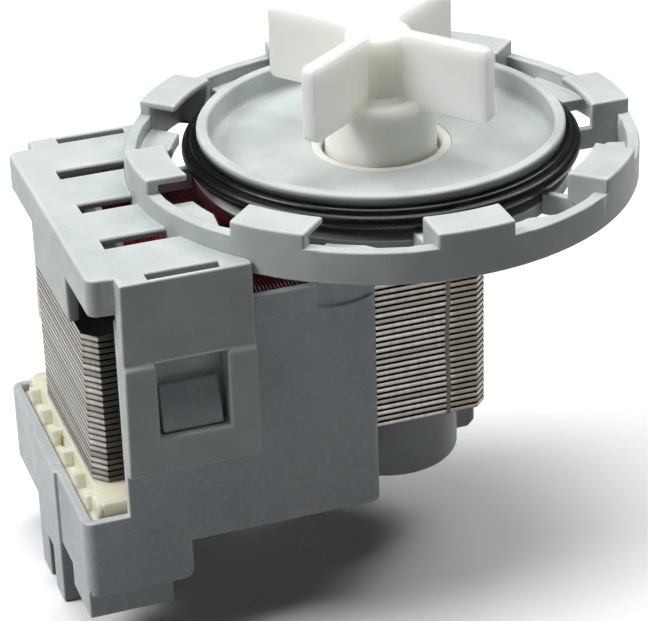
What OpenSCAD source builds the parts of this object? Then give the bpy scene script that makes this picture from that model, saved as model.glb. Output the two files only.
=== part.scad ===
// Drain pump for a washing machine: a synchronous motor with a laminated U core,
// a wet rotor in a closed well, and a four-bladed impeller in a bayonet flange.
// Origin: the pump axis at the level of the lug tops. +Z points to the impeller,
// -X along the core to its yoke, -Y to the front snap arm. Millimetres.

/* [Bayonet flange] */
// Outer radius of the bayonet ring
ring_r = 40; // [38:0.5:44]
// Thickness of the ring wall
ring_wall = 2; // [1.4:0.1:2.6]
// Height of the ring wall between the lugs
ring_h = 5.3; // [4.4:0.1:7]
// Rise of the lug tops above the ring wall
lug_rise = 2.4; // [1.8:0.1:3.4]
// Number of bayonet lugs
lug_count = 8; // [6:1:9]
// Width of a lug
lug_w = 12; // [9:0.5:14]
// Reach of a lug in from the outside of the ring
lug_reach = 6.4; // [5:0.1:7]
// Thickness of a lug plate
lug_t = 1.2; // [0.9:0.1:1.6]
// Thickness of the stop wall that ends each lug's pocket
stop_t = 1.4; // [1:0.1:2.4]
// Reach of the guide teeth in from the outside of the ring
tooth_reach = 7; // [5:0.1:7.4]
// Length of a guide tooth along the ring, from the open end of its lug
tooth_l = 12.4; // [8:0.1:13.4]
// Length of the slanted corner that leads onto a guide tooth
tooth_lead = 4.4; // [2:0.1:5]
// Depth of that slanted corner
tooth_slope = 2.2; // [1:0.1:3]
// Thickness of a guide tooth
tooth_t = 2; // [1.4:0.1:2.6]
// Depth of a guide tooth below the ring wall
tooth_drop = 2.1; // [1:0.1:2.4]
// Depth of the webs below the seal
web_drop = 0.4; // [0.2:0.1:1.4]

/* [Spigot and dish] */
// Width of the channel from the outside of the ring to the spigot
channel_w = 10.4; // [10:0.1:11.4]
// Wall of the spigot
spigot_wall = 2.2; // [1.8:0.1:3.2]
// Depth of the seal's groove
groove_depth = 1.4; // [1:0.1:1.6]
// Width of the rounded rim round the dish
rim_w = 1.8; // [1.4:0.1:2.4]
// Height of the rim above the seal's groove
rim_band = 1.66; // [1.2:0.02:2.2]
// Edge radius of the rim
rim_edge = 0.5; // [0.2:0.05:0.6]
// Height of the rim above the lug tops
rim_rise = 1.06; // [0.6:0.02:3]
// Depth of the dish inside the rim
dish_depth = 4.1; // [3.2:0.1:5]
// Thickness of the dish floor
floor_t = 2.2; // [1.6:0.1:3]
// Fillet between the dish floor and the rim
dish_fillet = 1; // [0.4:0.1:1.6]
// Large bead radius of the spigot seal
seal_bead = 1.15; // [0.9:0.05:1.3]
// Small bead radius of the spigot seal
seal_lip = 0.65; // [0.45:0.05:0.8]
// Stand of the large bead out of the spigot
seal_stand = 1.4; // [0.8:0.1:1.6]

/* [Laminated core] */
// Length of the core along its legs
core_l = 64.6; // [58:0.2:66.8]
// Width over both legs of the core
core_w = 32.4; // [30:0.2:36]
// Thickness of the stack of sheets
core_h = 25.2; // [20:0.2:30]
// Number of sheets in the stack
sheet_count = 25; // [16:1:26]
// Air left between two sheets
sheet_gap = 0.1; // [0.04:0.01:0.2]
// Width of one leg
leg_w = 9; // [8:0.1:9.6]
// Width of the yoke that joins the legs
yoke_w = 10; // [8.4:0.2:12]
// Chamfer on the corners of the sheets
sheet_chamfer = 2.05; // [1:0.05:3]
// Distance from the pump axis to the pole ends
pole_end = 11.5; // [11:0.1:12.5]
// Depth of the core's top face below the lug tops
core_drop = 19; // [18.4:0.2:22]
// Radius of a core rivet
rivet_r = 1.4; // [1:0.1:1.6]
// Radius of a rivet head
rivet_head_r = 2.2; // [1.8:0.1:2.4]
// Height of a rivet head
rivet_head_h = 0.8; // [0.5:0.1:1]

/* [Rotor well] */
// Outer radius of the rotor well
well_r = 11.5; // [11.2:0.1:11.9]
// Wall of the rotor well
well_wall = 1; // [0.8:0.05:1.2]
// Length of the well below the core
well_below = 13.1; // [12:0.1:16]
// Thickness of the well's closed end
well_end_t = 1.5; // [1:0.1:2.4]
// Air between the well and the poles
well_air = 0.3; // [0.2:0.05:0.6]
// Edge radius at the well's closed end
well_edge = 1; // [0.4:0.1:1.4]
// Reach of the key rib on the well below the core
key_reach = 3.3; // [2:0.1:6]
// Thickness of the key rib
key_t = 3; // [2:0.1:6]
// Distance of the key rib from the well's closed end
key_lift = 0.8; // [0.4:0.1:4]

/* [Coils] */
// Least pitch of the turns in a coil's outer layer
turn_least = 1.22; // [1.2:0.02:1.6]
// Diameter of the wire in the outer layer
wire_d = 0.72; // [0.5:0.02:0.78]
// Build of a coil over its bobbin
coil_build = 4.6; // [3.6:0.1:5.2]
// Wall of a bobbin
bobbin_wall = 0.8; // [0.6:0.05:1.2]
// Thickness of a bobbin flange
flange_t = 1.2; // [0.9:0.1:1.6]

/* [Coil housing] */
// Wall of the coil housing
house_wall = 1.5; // [1.2:0.1:2]
// Radius of the housing's upright corners
house_corner = 1.8; // [0.6:0.1:2]
// Overlap of the tray past the yoke end of the core
tray_reach = 4; // [3.6:0.1:5]
// Depth of the tray rim below the core
tray_drop = 2; // [1.6:0.1:3]
// Depth of the deep end of the housing below its main floor
deep_drop = 6.6; // [5:0.1:9]
// Height of the foot under the deep end
foot_h = 4; // [2:0.1:5]
// Height of the connector shroud below the deep end
shroud_h = 11; // [9:0.1:13]
// Width of the connector shroud
shroud_w = 13.6; // [12.6:0.1:16]
// Depth of the connector shroud
shroud_d = 9.2; // [8.8:0.1:11]
// Wall of the connector shroud
shroud_wall = 1.2; // [0.9:0.1:1.4]
// Width of the key slot in the shroud
shroud_slot = 3.2; // [2:0.1:4]
// Width of a terminal tab
tab_w = 6.3; // [4.8:0.1:6.3]
// Thickness of a terminal tab
tab_t = 0.8; // [0.5:0.1:1]
// Distance between the two terminal tabs
tab_pitch = 5.5; // [5.2:0.1:7]

/* [Snap arms and plate] */
// Thickness of the plate over the coils
plate_t = 2; // [1.4:0.1:2.6]
// Drop of the plate below the lug tops
plate_drop = 5.45; // [4.6:0.05:6]
// Height of the band round the plate
band_h = 6; // [4:0.1:8]
// Thickness of the band
band_t = 1.8; // [1.2:0.1:2.4]
// Width of the skirt that hangs in front of the core
skirt_w = 21; // [14:0.5:26]
// Thickness of a snap arm
arm_t = 3.1; // [2.8:0.1:3.6]
// Width of a snap arm
arm_w = 20; // [17:0.2:21]
// Length of a snap arm below the plate
arm_len = 32; // [29:0.2:36]
// Width of the window in a snap arm
window_w = 10.9; // [8:0.1:12]
// Height of the window in a snap arm
window_h = 12.5; // [10:0.1:14]
// Material left below the window
window_foot = 6.1; // [4:0.1:7]
// Width of the long slots in the plate
slot_w = 3.2; // [2:0.1:4]
// Spacing of the long slots
slot_pitch = 13.05; // [10:0.05:15]
// Width of the pocket at the top of each arm
pocket_w = 1.8; // [1:0.1:2]

/* [Rotor] */
// Water gap between the rotor magnet and the well
water_gap = 0.7; // [0.5:0.05:1.2]
// Radius of the shaft
shaft_r = 2; // [1.6:0.05:2.2]
// Running clearance between the shaft and its bushes
shaft_fit = 0.05; // [0.02:0.01:0.1]
// Outer radius of the bushes
bush_r = 4.2; // [3.6:0.1:4.6]
// Length of the bushes
bush_l = 6; // [4.5:0.1:6.4]

/* [Impeller] */
// Radius over the blade tips
blade_r = 19.8; // [16:0.1:23]
// Height of the blades
blade_h = 12; // [8:0.1:16]
// Thickness of a blade
blade_t = 2.4; // [1.6:0.1:3]
// Height of the blades' lower edge above the lug tops
blade_lift = 4.3; // [4.1:0.1:6]
// Radius of the impeller skirt
skirt_r = 8.7; // [8.4:0.05:8.9]
// Wall of the impeller skirt
skirt_wall = 1.5; // [1.2:0.05:1.7]
// Radius of the impeller's hub column
column_r = 5.2; // [4:0.1:6]
// Turn of the first blade from +X
blade_turn = -52.5; // [-90:0.5:90]
// Angle that the drive dog fills
dog_angle = 80; // [40:5:90]
// Angle that the impeller's stop fills
stop_angle = 60; // [40:5:70]
// Angle that each rubber bumper fills
bumper_angle = 18; // [8:1:20]

/* [Hidden] */
$fn = 96;

// Small distances that many fits share
seat_gap = 0.05;
press_gap = 0.02;
past = 1;

// Levels of the flange
ring_top = -lug_rise;
ring_bottom = ring_top - ring_h;
ring_in = ring_r - ring_wall;
ring_mid = ring_r - ring_wall / 2;
lug_in = ring_r - lug_reach;
lug_pitch = 360 / lug_count;
tooth_in = ring_r - tooth_reach;
tooth_top = ring_top - tooth_drop;
mm_angle = 180 / PI / ring_mid;
tooth_end = asin(lug_w / 2 / ring_mid) + tooth_l * mm_angle;
tooth_tip = tooth_end - tooth_lead * mm_angle;

// Spigot, seal groove and dish
spigot_r = ring_r - channel_w;
groove_r = spigot_r - groove_depth;
rim_lip = 0.4;
rim_r = groove_r + rim_lip;
rim_in = rim_r - rim_w;
spigot_in = spigot_r - spigot_wall;
groove_top = rim_rise - rim_band;
seal_overlap = 0.6;
seal_base = 0.9;
seal_h = 2 * seal_bead + 2 * seal_lip - seal_overlap;
groove_bottom = groove_top - seal_h - 2 * seat_gap;
dish_top = rim_rise - dish_depth;
dish_bottom = dish_top - floor_t;
dish_rib_t = 1.6;
dish_rib_lift = 0.4;

// Core
core_top = -core_drop;
core_bottom = core_top - core_h;
sheet_pitch = (core_h + sheet_gap) / sheet_count;
sheet_t = sheet_pitch - sheet_gap;
yoke_x = pole_end - core_l;
yoke_in = yoke_x + yoke_w;
leg_in = core_w / 2 - leg_w;
bore_r = well_r + well_air;
rivet_shift = 1.2;
rivet_inset = 3.4;
rivet_face_r = 0.7 * rivet_head_r;
rivet_y = core_w / 2 - leg_w / 2 + rivet_shift;
rivet_pole_x = pole_end - rivet_inset;
rivet_yoke_x = yoke_x + yoke_w / 2;
rivet_yoke_y = 6;
rivet_spots = [
    for (side = [-1, 1], spot = [[rivet_pole_x, rivet_y], [rivet_yoke_x, rivet_yoke_y]])
        [spot[0], side * spot[1], 0]
];

// Rotor well
well_in = well_r - well_wall;
well_bottom = core_bottom - well_below;
well_floor = well_bottom + well_end_t;
root_build = 2;
root_h = 2.6;
well_root_r = well_r + root_build;
mouth_step = 0.5;
mouth_depth = 0.2;
mouth_r = well_in + mouth_step;
mouth_z = dish_bottom - mouth_depth;
post_w = 8;
post_inset = 0.8;
post_out = core_w / 2 - post_inset;

// Coils and bobbins, described for the leg on the +Y side
core_fit = 0.2;
tube_in = leg_in - core_fit;
tube_out = core_w / 2 + core_fit;
tube_top = core_top + core_fit;
tube_bottom = core_bottom - core_fit;
wind_in = tube_in - bobbin_wall;
wind_out = tube_out + bobbin_wall;
wind_top = tube_top + bobbin_wall;
wind_bottom = tube_bottom - bobbin_wall;
bobbin_end_air = 0.3;
bobbin_well_air = 0.4;
bobbin_x0 = yoke_in + bobbin_end_air;
bobbin_x1 = -(well_r + bobbin_well_air);
wind_x0 = bobbin_x0 + flange_t;
wind_x1 = bobbin_x1 - flange_t;
wire_air = 0.06;
core_layer = coil_build - wire_d - wire_air;
flange_over = 0.2;
coil_corner = 2.4;

// Coil housing
coil_air = 0.4;
floor_air = 1.4;
house_over = 0.3;
house_end_air = 0.85;
house_set = 3.1;
house_y = wind_out + coil_build + coil_air + house_wall;
house_in = house_y - house_wall;
house_floor = wind_bottom - coil_build - floor_air;
house_bottom = house_floor - house_wall;
house_top = wind_top + coil_build + house_over;
house_x1 = bobbin_x1 + house_end_air + house_wall;
house_x0 = yoke_x + house_set;

// Shallow scoop in the outside of the housing's side walls, beside the rotor well
scoop_depth = 0.5;
scoop_l = 9.4;
scoop_mid = 6;
scoop_drop = 4.1;
scoop_r = 15;

// Tray, deep end, foot and connector of the housing
deep_over = 2.7;
tray_x0 = yoke_x - tray_reach;
tray_top = core_bottom - tray_drop;
deep_x1 = yoke_in + deep_over;
deep_bottom = house_bottom - deep_drop;
deep_floor = deep_bottom + house_wall;
deep_corner = 1.6;
foot_set = 3.3;
foot_w = 10.7;
foot_back = 0.7;
foot_x1 = deep_x1 - foot_set;
foot_y1 = -house_y + foot_w;
shroud_proud = 0.5;
shroud_x0 = tray_x0 - shroud_proud;
shroud_x1 = shroud_x0 + shroud_d;
shroud_bottom = deep_bottom - shroud_h;
roof_t = 1.5;
shroud_roof = deep_bottom - roof_t;
slot_stop = 2;
tab_guard = 2;
tab_set = 0.3;
tab_point = 1;
tab_hole_r = 0.8;
tab_hole_up = 3;
tab_x = shroud_x0 + shroud_d / 2;
tab_y = tab_pitch / 2;
tab_tip = shroud_bottom + tab_guard;
tab_shoulder = deep_floor - tab_set;
pin_w = 1.4;
pin_rise = 1.2;

// Wire comb under the yoke
comb_air = 0.3;
comb_drop = 1;
comb_top = tray_top - comb_drop;
comb_t = 1.4;
comb_bottom = comb_top - comb_t;
comb_x0 = tray_x0 + house_wall + comb_air;
comb_x1 = yoke_in - comb_air;
comb_y = house_in - comb_air;
comb_strip = 1.7;
comb_seat = core_bottom - seat_gap;
comb_ledge = 2.8;
comb_fins = 6;
comb_fin_t = 1.4;
comb_fin_top = comb_seat - 0.3;
comb_fin_pitch = 7;
comb_bar_r = 2.1;
comb_bar_rise = 1.2;
rest_t = 1.5;

// Plate, arms and latch
plate_over = 0.9;
plate_top = -plate_drop;
plate_under = plate_top - plate_t;
plate_x0 = yoke_x - plate_over;
arm_gap = 0.6;
arm_in = house_y + arm_gap;
arm_out = arm_in + arm_t;
arm_x0 = house_x0;
arm_x1 = arm_x0 + arm_w;
arm_bottom = plate_top - arm_len;
arm_lean = 0.6;
arm_pad = 0.8;
arm_edge = 0.6;
arm_lead = 2.4;
pad_over = 0.5;
plate_step = 3;
plate_y = arm_out - plate_step;
plate_corner = 1.6;
band_bottom = plate_top - band_h;
skirt_air = 0.2;
skirt_bottom = core_top + skirt_air;
window_z0 = arm_bottom + window_foot;
window_z1 = window_z0 + window_h;
window_x0 = arm_x0 + (arm_w - window_w) / 2;
window_x1 = window_x0 + window_w;
arm_step = window_z1 + pad_over;
hook_side = 0.8;
hook_fit = 0.15;
hook_back = 0.6;
hook_rise = 0.6;
hook_land = 0.8;
hook_slope = 0.6;
hook_h = 8;
hook_tip = arm_out - hook_back;
hook_face = arm_in + hook_rise;
slot_end = 5.5;
slot_rim = 0.9;
slot_relief = 1.4;
slot_x0 = plate_x0 + slot_end;
pocket_wall = 0.9;
pocket_left = 2.3;
pocket_y = arm_out - pocket_wall - pocket_w / 2;
pocket_bottom = window_z1 + pocket_left;

// Bearings and carrier
carrier_r = mouth_r - seat_gap;
carrier_wall_r = well_in - seat_gap;
carrier_wall = 1.6;
carrier_edge = 0.4;
carrier_floor = mouth_z + seat_gap;
skirt_room = 0.6;
recess_up = 0.2;
recess_r = skirt_r + skirt_room;
recess_z = mouth_z + recess_up;
web_t = 2.4;
web_bottom = recess_z - web_t;
bush_hole = bush_r + press_gap;
end_play = 0.3;
washer_t = 1;
washer_r = 3.8;
hub_boss = 0.66;
hub_cone = 1.4;
magnet_over = 0.4;
magnet_top = core_top + magnet_over;
magnet_bottom = core_bottom - magnet_over;
end_disc = 1.4;
hub_top = magnet_top + end_disc + hub_boss;
front_bush_bottom = hub_top + washer_t + end_play;
front_bush_top = front_bush_bottom + bush_l;
carrier_hub_wall = 1.8;
carrier_hub_r = bush_r + carrier_hub_wall;
bush_proud = 0.6;
carrier_bottom = front_bush_bottom + bush_proud;
carrier_groove_z = (web_bottom + carrier_bottom) / 2;
carrier_bead = 0.9;
shaft_room = 1;
cushion_wall = 1.2;
cushion_r = bush_hole + cushion_wall;
cushion_floor = 0.8;
seat_wall = 1.2;
rear_bush_bottom = well_floor + cushion_floor + seat_gap + press_gap;
rear_bush_top = rear_bush_bottom + bush_l;
bush_out = 1.6;
cushion_top = rear_bush_top - bush_out;

// Lip seal on the shaft, drawn from the recess downwards
lip_r = 5;
lip_set = 0.2;
lip_tip = 0.5;
lip_land = 0.3;
lip_neck = 1.4;
lip_room = 0.9;
lip_cone = 1.6;

// Rotor
magnet_r = well_in - water_gap;
hub_wall = 2;
hub_bottom = rear_bush_top + end_play + washer_t;
magnet_hole = shaft_r + hub_wall;
disc_set = 0.6;
end_disc_r = magnet_r - disc_set;
shaft_lift = 0.4;
shaft_bottom = rear_bush_bottom + shaft_lift;
shaft_chamfer = 0.3;

// Impeller and its free-play coupling
roof_drop = 1.1;
cavity_r = skirt_r - skirt_wall;
cavity_top = blade_lift - roof_drop;
cap_lift = 0.7;
skirt_bottom_z = recess_z + cap_lift;
cap_t = 1.8;
cap_top = skirt_bottom_z + cap_t;
shoulder_drop = 0.6;
shoulder_h = 2.6;
shoulder_r = 2;
shoulder_foot = 0.6;
shoulder_land = 0.4;
shoulder_z = blade_lift - shoulder_drop;
shoulder_top = shoulder_z + shoulder_h;
blade_top = blade_lift + blade_h;
blade_corner = 1.2;
column_round = 0.8;
column_set = 0.4;
column_top = blade_top - column_set;
shaft_grip = 5.8;
shaft_top = cavity_top + shaft_grip;
shaft_bore_top = shaft_top + end_play;
run_gap = 0.4;
dog_hub_wall = 1.5;
dog_hub_r = shaft_r + dog_hub_wall;
dog_r = cavity_r - run_gap;
dog_bottom = cap_top + run_gap / 2;
dog_top = cavity_top - run_gap / 2;
stop_r = dog_hub_r + run_gap;
bumper_turn = 0.4;
bumper_air = 0.2;

// Colours
grey = "#8f9699";
cream = "#e6dfc0";
ivory = "#f2efe6";
rubber = "#1b1c1e";
steel = "#a9a59d";
enamel = "#c4281f";

// Helpers

module block(x, y, z) {
    translate([x[0], y[0], z[0]])
        cube([x[1] - x[0], y[1] - y[0], z[1] - z[0]]);
}

module disc(r, z) {
    translate([0, 0, z[0]])
        cylinder(r = r, h = z[1] - z[0]);
}

module tube(r_out, r_in, z) {
    difference() {
        disc(r_out, z);
        disc(r_in, [z[0] - past, z[1] + past]);
    }
}

module sector(r, z, middle, spread) {
    rotate([0, 0, middle - spread / 2])
        rotate_extrude(angle = spread)
            translate([r[0], z[0]])
                square([r[1] - r[0], z[1] - z[0]]);
}

// Rectangle with round corners, drawn from its lower-left to its upper-right corner
module round_rect(low, high, r) {
    translate([low[0] + r, low[1]])
        square([high[0] - low[0] - 2 * r, high[1] - low[1]]);
    translate([low[0], low[1] + r])
        square([high[0] - low[0], high[1] - low[1] - 2 * r]);
    for (x = [low[0] + r, high[0] - r], y = [low[1] + r, high[1] - r])
        translate([x, y])
            circle(r = r);
}

// Carries a profile drawn in Y and Z along X
module along_x(x) {
    translate([x[0], 0, 0])
        rotate([90, 0, 90])
            linear_extrude(x[1] - x[0])
                children();
}

// Carries a profile drawn in X and Z along Y
module along_y(y) {
    translate([0, y[1], 0])
        rotate([90, 0, 0])
            linear_extrude(y[1] - y[0])
                children();
}

module both_sides() {
    children();
    mirror([0, 1, 0])
        children();
}

// Pump cover: ring, lugs, teeth, dish, well and plate, which one moulding joins

module around_lugs() {
    for (i = [0 : lug_count - 1])
        rotate([0, 0, i * lug_pitch])
            children();
}

// Stop wall that ends a lug's pocket, between two levels
module stop_wall(r, z) {
    block(r, [-lug_w / 2, stop_t - lug_w / 2], z);
}

// Ring wall with the lower part of each stop wall, and webs from the spigot in line with them
module bayonet_ring() {
    web_top = groove_bottom - web_drop;
    color(grey) {
        tube(ring_r, ring_in, [ring_bottom, ring_top]);
        around_lugs() {
            intersection() {
                tube(ring_mid, lug_in, [ring_bottom, ring_top]);
                stop_wall([0, ring_r], [ring_bottom, ring_top]);
            }
            difference() {
                stop_wall([0, ring_mid], [ring_bottom, web_top]);
                disc(spigot_r + seat_gap, [ring_bottom - past, web_top + past]);
            }
        }
    }
}

// Lugs above the ring wall: a plate, the wall outside it and the upper part of the stop wall
module bayonet_lugs() {
    color(grey)
        around_lugs()
            intersection() {
                tube(ring_r, lug_in, [ring_top, 0]);
                union() {
                    block([0, ring_r], [-lug_w / 2, lug_w / 2], [-lug_t, 0]);
                    stop_wall([0, ring_r], [ring_top, 0]);
                    difference() {
                        block([0, ring_r], [-lug_w / 2, lug_w / 2], [ring_top, 0]);
                        disc(ring_in, [ring_top - past, past]);
                    }
                }
            }
}

function at(r, a) = [r * cos(a), r * sin(a)];

// Guide teeth beside the open ends of the lugs, with a slanted corner to lead the mating hook
module guide_teeth() {
    color(grey)
        around_lugs()
            intersection() {
                tube(ring_in - seat_gap, tooth_in, [tooth_top - tooth_t, tooth_top]);
                translate([0, 0, tooth_top - tooth_t])
                    linear_extrude(tooth_t)
                        polygon([
                            [0, lug_w / 2],
                            [ring_r, lug_w / 2],
                            at(ring_r, tooth_end),
                            at(tooth_in + tooth_slope, tooth_end),
                            at(tooth_in, tooth_tip)
                        ]);
            }
}

module dish_profile() {
    polygon([
        [mouth_r, dish_bottom],
        [spigot_in, dish_bottom],
        [spigot_in, ring_bottom],
        [spigot_r, ring_bottom],
        [spigot_r, groove_bottom],
        [groove_r, groove_bottom],
        [groove_r, groove_top],
        [rim_r, groove_top],
        [rim_r, rim_rise - rim_edge],
        [rim_in, rim_rise - rim_edge],
        [rim_in, dish_top],
        [mouth_r, dish_top]
    ]);
    round_rect([rim_in, rim_rise - rim_band], [rim_r, rim_rise], rim_edge);
    translate([rim_in - dish_fillet, dish_top])
        difference() {
            square(dish_fillet);
            translate([0, dish_fillet])
                circle(r = dish_fillet);
        }
}

// Ribs under the dish, from the well's root to the spigot
module dish_ribs() {
    around_lugs()
        block([well_root_r + seat_gap, spigot_r - spigot_wall / 2],
              [-dish_rib_t / 2, dish_rib_t / 2],
              [ring_bottom + dish_rib_lift, dish_bottom + floor_t / 2]);
}

// Posts that hold the core at its distance from the dish
module core_posts() {
    both_sides()
        block([-post_w / 2, post_w / 2], [well_root_r + seat_gap, post_out],
              [core_top + seat_gap, dish_bottom + floor_t / 2]);
}

module pump_dish() {
    color(grey) {
        rotate_extrude()
            dish_profile();
        dish_ribs();
        core_posts();
    }
}

module well_profile() {
    seat_r = cushion_r + seat_gap;
    polygon([
        [well_in, mouth_z],
        [mouth_r, mouth_z],
        [mouth_r, dish_bottom],
        [well_root_r, dish_bottom],
        [well_root_r, dish_bottom - root_h],
        [well_r, dish_bottom - root_h],
        [well_r, well_bottom + well_edge],
        [well_r - well_edge, well_bottom],
        [0, well_bottom],
        [0, well_floor],
        [seat_r, well_floor],
        [seat_r, cushion_top],
        [seat_r + seat_wall, cushion_top],
        [seat_r + seat_wall, well_floor],
        [well_in, well_floor]
    ]);
    translate([well_r - well_edge, well_bottom + well_edge])
        circle(r = well_edge);
}

// Key rib on the well below the core
module well_key() {
    key_top = core_bottom - core_fit;
    key_bottom = well_bottom + key_lift;
    key_out = well_r + key_reach;
    along_y([-key_t / 2, key_t / 2])
        polygon([
            [well_r - well_wall / 2, key_bottom],
            [key_out - key_reach / 3, key_bottom],
            [key_out, key_bottom + key_reach / 3],
            [key_out, key_top],
            [well_r - well_wall / 2, key_top]
        ]);
}

module rotor_well() {
    color(grey) {
        rotate_extrude()
            well_profile();
        well_key();
    }
}

module plate_outline() {
    difference() {
        polygon([
            [plate_x0, -plate_y],
            [arm_x0, -plate_y],
            [arm_x0, -arm_out],
            [arm_x1, -arm_out],
            [arm_x1, arm_out],
            [arm_x0, arm_out],
            [arm_x0, plate_y],
            [plate_x0, plate_y]
        ]);
        circle(r = ring_r + seat_gap);
    }
}

// Snap arm: its side view gives the thickness, its front view the leaning edge
module snap_arm() {
    difference() {
        intersection() {
            along_x([arm_x0 - past, arm_x1])
                polygon([
                    [-arm_in, plate_top],
                    [-arm_out, plate_top],
                    [-arm_out, arm_step],
                    [-arm_out - arm_pad, arm_step - arm_pad],
                    [-arm_out - arm_pad, arm_bottom + arm_edge],
                    [arm_edge - arm_out - arm_pad, arm_bottom],
                    [-arm_in - arm_lead / 2, arm_bottom],
                    [-arm_in, arm_bottom + arm_lead]
                ]);
            along_y([-arm_out - past, -arm_in + past])
                polygon([
                    [arm_x0, plate_top],
                    [arm_x0 - arm_lean, arm_bottom],
                    [arm_x1, arm_bottom],
                    [arm_x1, plate_top]
                ]);
        }
        block([window_x0, window_x1], [-arm_out - past, past - arm_in], [window_z0, window_z1]);
        block([window_x0, window_x1], [-pocket_y - pocket_w / 2, pocket_w / 2 - pocket_y],
              [pocket_bottom, plate_top + past]);
    }
}

module plate_slots() {
    difference() {
        for (i = [-1 : 1])
            translate([0, i * slot_pitch, 0]) {
                block([slot_x0, 0], [-slot_w / 2, slot_w / 2], [plate_under - past, plate_top + past]);
                block([slot_x0, 0], [-slot_w / 2 - slot_relief, slot_w / 2 + slot_relief],
                      [plate_under - past, plate_top - slot_rim]);
            }
        disc(ring_r, [plate_under - 2 * past, plate_top + 2 * past]);
    }
    both_sides()
        block([window_x0, window_x1], [pocket_y - pocket_w / 2, pocket_y + pocket_w / 2],
              [plate_under - past, plate_top + past]);
}

// Plate with the band under its edges and the skirt in front of the core
module plate_and_band() {
    translate([0, 0, plate_under])
        linear_extrude(plate_t)
            plate_outline();
    block([plate_x0, plate_x0 + band_t], [-plate_y, plate_y], [band_bottom, plate_top]);
    block([plate_x0, plate_x0 + band_t], [-skirt_w / 2, skirt_w / 2], [skirt_bottom, plate_top]);
    both_sides()
        block([plate_x0, arm_x0 + band_t], [plate_y - band_t, plate_y], [band_bottom, plate_top]);
}

// Outline of the plate with its two free corners rounded
module plate_corners() {
    round_rect([plate_x0, -plate_y], [0, plate_y], plate_corner);
    translate([arm_x0, -arm_out])
        square([arm_w, 2 * arm_out]);
}

module coil_plate() {
    color(grey) {
        difference() {
            intersection() {
                plate_and_band();
                translate([0, 0, skirt_bottom])
                    linear_extrude(plate_top - skirt_bottom)
                        plate_corners();
            }
            plate_slots();
        }
        difference() {
            both_sides()
                snap_arm();
            disc(ring_r + seat_gap, [ring_bottom, plate_top + past]);
        }
    }
}

module spigot_seal() {
    low = groove_bottom + seat_gap;
    high = groove_top - seat_gap;
    color(rubber)
        rotate_extrude() {
            translate([groove_r + seat_gap, low])
                square([seal_base, high - low]);
            translate([spigot_r + seal_stand - seal_bead, low + seal_bead])
                circle(r = seal_bead);
            translate([groove_r + seal_base, high - seal_lip])
                circle(r = seal_lip);
        }
}

// Stator: sheets, rivets, bobbins and coils

module sheet_outline() {
    c = sheet_chamfer;
    half = core_w / 2;
    difference() {
        polygon([
            [yoke_x + c, -half],
            [pole_end - c, -half],
            [pole_end, c - half],
            [pole_end, half - c],
            [pole_end - c, half],
            [yoke_x + c, half],
            [yoke_x, half - c],
            [yoke_x, c - half]
        ]);
        translate([yoke_in, -leg_in])
            square([core_l, 2 * leg_in]);
        circle(r = bore_r);
        for (spot = rivet_spots)
            translate(spot)
                circle(r = rivet_r + press_gap);
    }
}

module core_sheets() {
    color(steel)
        for (i = [0 : sheet_count - 1])
            translate([0, 0, core_bottom + i * sheet_pitch])
                linear_extrude(sheet_t)
                    sheet_outline();
}

module core_rivets() {
    color("#8d8a85")
        for (spot = rivet_spots)
            translate(spot)
                rotate_extrude()
                    polygon([
                        [0, core_bottom - rivet_head_h],
                        [rivet_face_r, core_bottom - rivet_head_h],
                        [rivet_head_r, core_bottom - rivet_head_h / 2],
                        [rivet_head_r, core_bottom],
                        [rivet_r, core_bottom],
                        [rivet_r, core_top],
                        [rivet_head_r, core_top],
                        [rivet_head_r, core_top + rivet_head_h / 2],
                        [rivet_face_r, core_top + rivet_head_h],
                        [0, core_top + rivet_head_h]
                    ]);
}

module bobbin() {
    rim = coil_build + flange_over;
    difference() {
        union() {
            block([bobbin_x0, bobbin_x1], [wind_in, wind_out], [wind_bottom, wind_top]);
            for (x = [bobbin_x0, wind_x1])
                along_x([x, x + flange_t])
                    round_rect([wind_in - rim, wind_bottom - rim], [wind_out + rim, wind_top + rim],
                               coil_corner);
        }
        block([bobbin_x0 - past, bobbin_x1 + past], [tube_in, tube_out], [tube_bottom, tube_top]);
    }
}

module bobbin_back() {
    color(cream)
        bobbin();
}

module bobbin_front() {
    color(cream)
        mirror([0, 1, 0])
            bobbin();
}

// Outer layer of turns: one unbroken tube wound round the inner layers
corner_rings = 4;
rings_per_turn = 4 * corner_rings;
corner_step = 90 / (corner_rings - 1);
tube_sides = 6;
turn_out = core_layer + wire_air + wire_d / 2;
turn_corner = coil_corner + wire_air + wire_d / 2;
turn_x0 = wind_x0 + seat_gap + wire_d;
turn_x1 = wind_x1 - seat_gap - wire_d;
turns = floor((turn_x1 - turn_x0) / turn_least);
turn_pitch = (turn_x1 - turn_x0) / turns;
turn_low = [wind_in - turn_out, wind_bottom - turn_out];
turn_high = [wind_out + turn_out, wind_top + turn_out];

// Point number k of the round-cornered loop, in Y and Z
function loop_point(k) =
    let (corner = floor(k / corner_rings) % 4,
         a = 90 * corner + corner_step * (k % corner_rings),
         cy = corner == 0 || corner == 3 ? turn_high[0] - turn_corner : turn_low[0] + turn_corner,
         cz = corner < 2 ? turn_high[1] - turn_corner : turn_low[1] + turn_corner)
    [cy + turn_corner * cos(a), cz + turn_corner * sin(a)];

turn_path = concat(
    [[turn_x0 - wire_d, loop_point(0)[0], loop_point(0)[1]]],
    [for (k = [0 : turns * rings_per_turn])
        let (p = loop_point(k % rings_per_turn))
        [turn_x0 + turn_pitch * k / rings_per_turn, p[0], p[1]]],
    [[turn_x1 + wire_d, loop_point(0)[0], loop_point(0)[1]]]
);

function unit(v) = v / norm(v);

function path_step(path, i) =
    unit(path[min(i + 1, len(path) - 1)] - path[max(i - 1, 0)]);

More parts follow.
